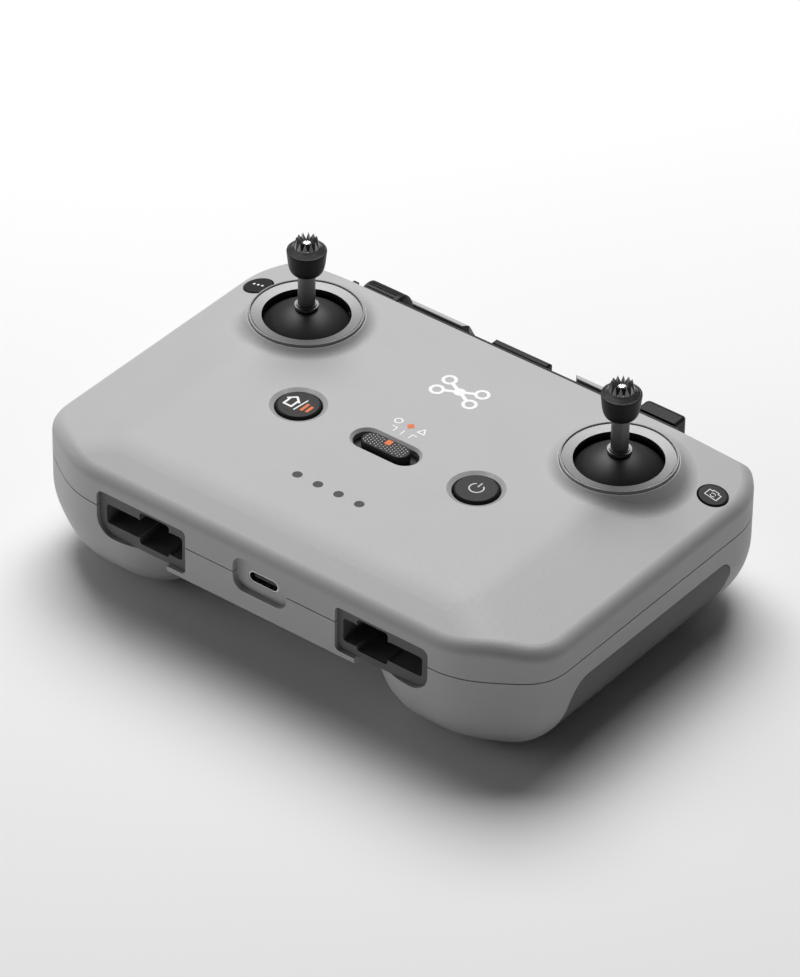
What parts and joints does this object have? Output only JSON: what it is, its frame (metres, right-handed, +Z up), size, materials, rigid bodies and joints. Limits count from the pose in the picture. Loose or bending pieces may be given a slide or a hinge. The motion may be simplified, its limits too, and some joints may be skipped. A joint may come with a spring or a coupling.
{
  "type": "radio transmitter controller",
  "caption": "Compact grey remote controller for a drone with screw-in thumb sticks, a pull-out phone holder, a shoulder dial, a shutter button and stick stores.",
  "frame": {"origin": "middle of the bounding box's foot, on the surface the two grips rest on", "axes": "+Z up out of the control face, +X to the user's right, +Y away from the user, towards the phone holder"},
  "size_m": [0.15, 0.1042, 0.0628],
  "materials": {
    "shell_plastic": "fine textured light grey",
    "soft_grip": "dark grey soft touch",
    "dark_plastic": "charcoal, fine texture",
    "ring_metal": "satin anodised",
    "dome_plastic": "matte black",
    "stick_metal": "gun-metal satin",
    "knob_rubber": "matte black",
    "crown_metal": "turned",
    "store_rubber": "matte",
    "pad_rubber": "ribbed, matte",
    "lens_plastic": "smoked",
    "port_metal": "bright",
    "gimbal_plastic": "moulded",
    "slide_metal": "stamped",
    "circuit_board": "solder mask",
    "component_plastic": "moulded",
    "cell_wrap": "shrink wrap",
    "contact_brass": "plated",
    "fastener_steel": "satin"
  },
  "bodies": {
    "root": {"top_shell": "shell_plastic", "bottom_shell": "shell_plastic", "usb_bezel": "shell_plastic", "left_side_grip": "soft_grip", "right_side_grip": "soft_grip", "rear_panel": "dark_plastic", "mode_switch_base": "dark_plastic", "left_stick_ring": "ring_metal", "right_stick_ring": "ring_metal", "left_stick_store": "store_rubber", "right_stick_store": "store_rubber", "led_light_pipes": "lens_plastic", "status_leds": "lens_plastic", "usb_socket_shell": "port_metal", "shield_can": "port_metal", "left_gimbal_housing": "gimbal_plastic", "right_gimbal_housing": "gimbal_plastic", "holder_track": "gimbal_plastic", "usb_socket_tongue": "gimbal_plastic", "main_board": "circuit_board", "button_board": "circuit_board", "wing_switch_boards": "circuit_board", "gimbal_sensors": "circuit_board", "processor_chips": "component_plastic", "tact_switches": "component_plastic", "slide_switch": "component_plastic", "shutter_switch": "component_plastic", "left_battery_cell": "cell_wrap", "right_battery_cell": "cell_wrap", "battery_contacts": "contact_brass", "case_screws": "fastener_steel", "dial_axle": "fastener_steel"},
    "home_button": {"home_button": "dark_plastic"},
    "power_button": {"power_button": "dark_plastic"},
    "custom_button": {"custom_button": "dark_plastic"},
    "camera_button": {"camera_button": "dark_plastic"},
    "mode_switch": {"mode_switch": "dark_plastic"},
    "holder_stage": {"holder_mid_stage": "slide_metal"},
    "holder_head": {"holder_slide": "slide_metal", "holder_bridge": "dark_plastic", "holder_centre_stop": "dark_plastic", "left_phone_clamp": "shell_plastic", "right_phone_clamp": "shell_plastic", "left_clamp_pad": "pad_rubber", "right_clamp_pad": "pad_rubber", "antenna_boards": "circuit_board"},
    "dial": {"gimbal_dial": "dark_plastic"},
    "shutter": {"shutter_button": "dark_plastic"},
    "left_yoke": {"left_gimbal_yoke": "gimbal_plastic"},
    "left_stick_base": {"left_gimbal_hub": "stick_metal", "left_stick_dome": "dome_plastic"},
    "left_stick": {"left_stick_shaft": "stick_metal", "left_stick_knob": "knob_rubber", "left_stick_crown": "crown_metal"},
    "right_yoke": {"right_gimbal_yoke": "gimbal_plastic"},
    "right_stick_base": {"right_gimbal_hub": "stick_metal", "right_stick_dome": "dome_plastic"},
    "right_stick": {"right_stick_shaft": "stick_metal", "right_stick_knob": "knob_rubber", "right_stick_crown": "crown_metal"}
  },
  "joints": [
    {"name": "left_stick_pitch", "type": "hinge", "parent": "root", "child": "left_yoke", "pos_m": [-0.0469, 0.02356, 0.0284], "axis": [1, 0, 0], "range_deg": [-22, 22], "stiffness_Nm_per_rad": 0.03},
    {"name": "left_stick_roll", "type": "hinge", "parent": "left_yoke", "child": "left_stick_base", "pos_m": [-0.0469, 0.02356, 0.0284], "axis": [0, 1, 0], "range_deg": [-22, 22], "stiffness_Nm_per_rad": 0.03},
    {"name": "left_stick_unscrew", "type": "slide", "parent": "left_stick_base", "child": "left_stick", "axis": [0, 0, 1], "range_m": [0, 0.015]},
    {"name": "right_stick_pitch", "type": "hinge", "parent": "root", "child": "right_yoke", "pos_m": [0.0469, 0.02356, 0.0284], "axis": [1, 0, 0], "range_deg": [-22, 22], "stiffness_Nm_per_rad": 0.03},
    {"name": "right_stick_roll", "type": "hinge", "parent": "right_yoke", "child": "right_stick_base", "pos_m": [0.0469, 0.02356, 0.0284], "axis": [0, 1, 0], "range_deg": [-22, 22], "stiffness_Nm_per_rad": 0.03},
    {"name": "right_stick_unscrew", "type": "slide", "parent": "right_stick_base", "child": "right_stick", "axis": [0, 0, 1], "range_m": [0, 0.015]},
    {"name": "home_button_press", "type": "slide", "parent": "root", "child": "home_button", "axis": [0, 0, -1], "range_m": [0, 0.0005], "stiffness_N_per_m": 900},
    {"name": "power_button_press", "type": "slide", "parent": "root", "child": "power_button", "axis": [0, 0, -1], "range_m": [0, 0.0005], "stiffness_N_per_m": 900},
    {"name": "custom_button_press", "type": "slide", "parent": "root", "child": "custom_button", "axis": [0.1961, 0, -0.9806], "range_m": [0, 0.0005], "stiffness_N_per_m": 900},
    {"name": "camera_button_press", "type": "slide", "parent": "root", "child": "camera_button", "axis": [-0.1961, 0, -0.9806], "range_m": [0, 0.0005], "stiffness_N_per_m": 900},
    {"name": "mode_switch_slide", "type": "slide", "parent": "root", "child": "mode_switch", "axis": [1, 0, 0], "range_m": [-0.002, 0.002]},
    {"name": "gimbal_dial_turn", "type": "hinge", "parent": "root", "child": "dial", "pos_m": [-0.04135, 0.0464, 0.033], "axis": [1, 0, 0], "range_deg": [-25, 25], "stiffness_Nm_per_rad": 0.004},
    {"name": "shutter_press", "type": "slide", "parent": "root", "child": "shutter", "axis": [0, -1, 0], "range_m": [0, 0.0008], "stiffness_N_per_m": 900},
    {"name": "holder_extend", "type": "slide", "parent": "root", "child": "holder_stage", "axis": [0, 1, 0], "range_m": [0, 0.03]},
    {"name": "holder_head_extend", "type": "slide", "parent": "holder_stage", "child": "holder_head", "axis": [0, 1, 0], "range_m": [0, 0.03]}
  ],
  "couplings": [
    {"joint": "holder_head_extend", "follows": "holder_extend", "ratio": 1}
  ]
}
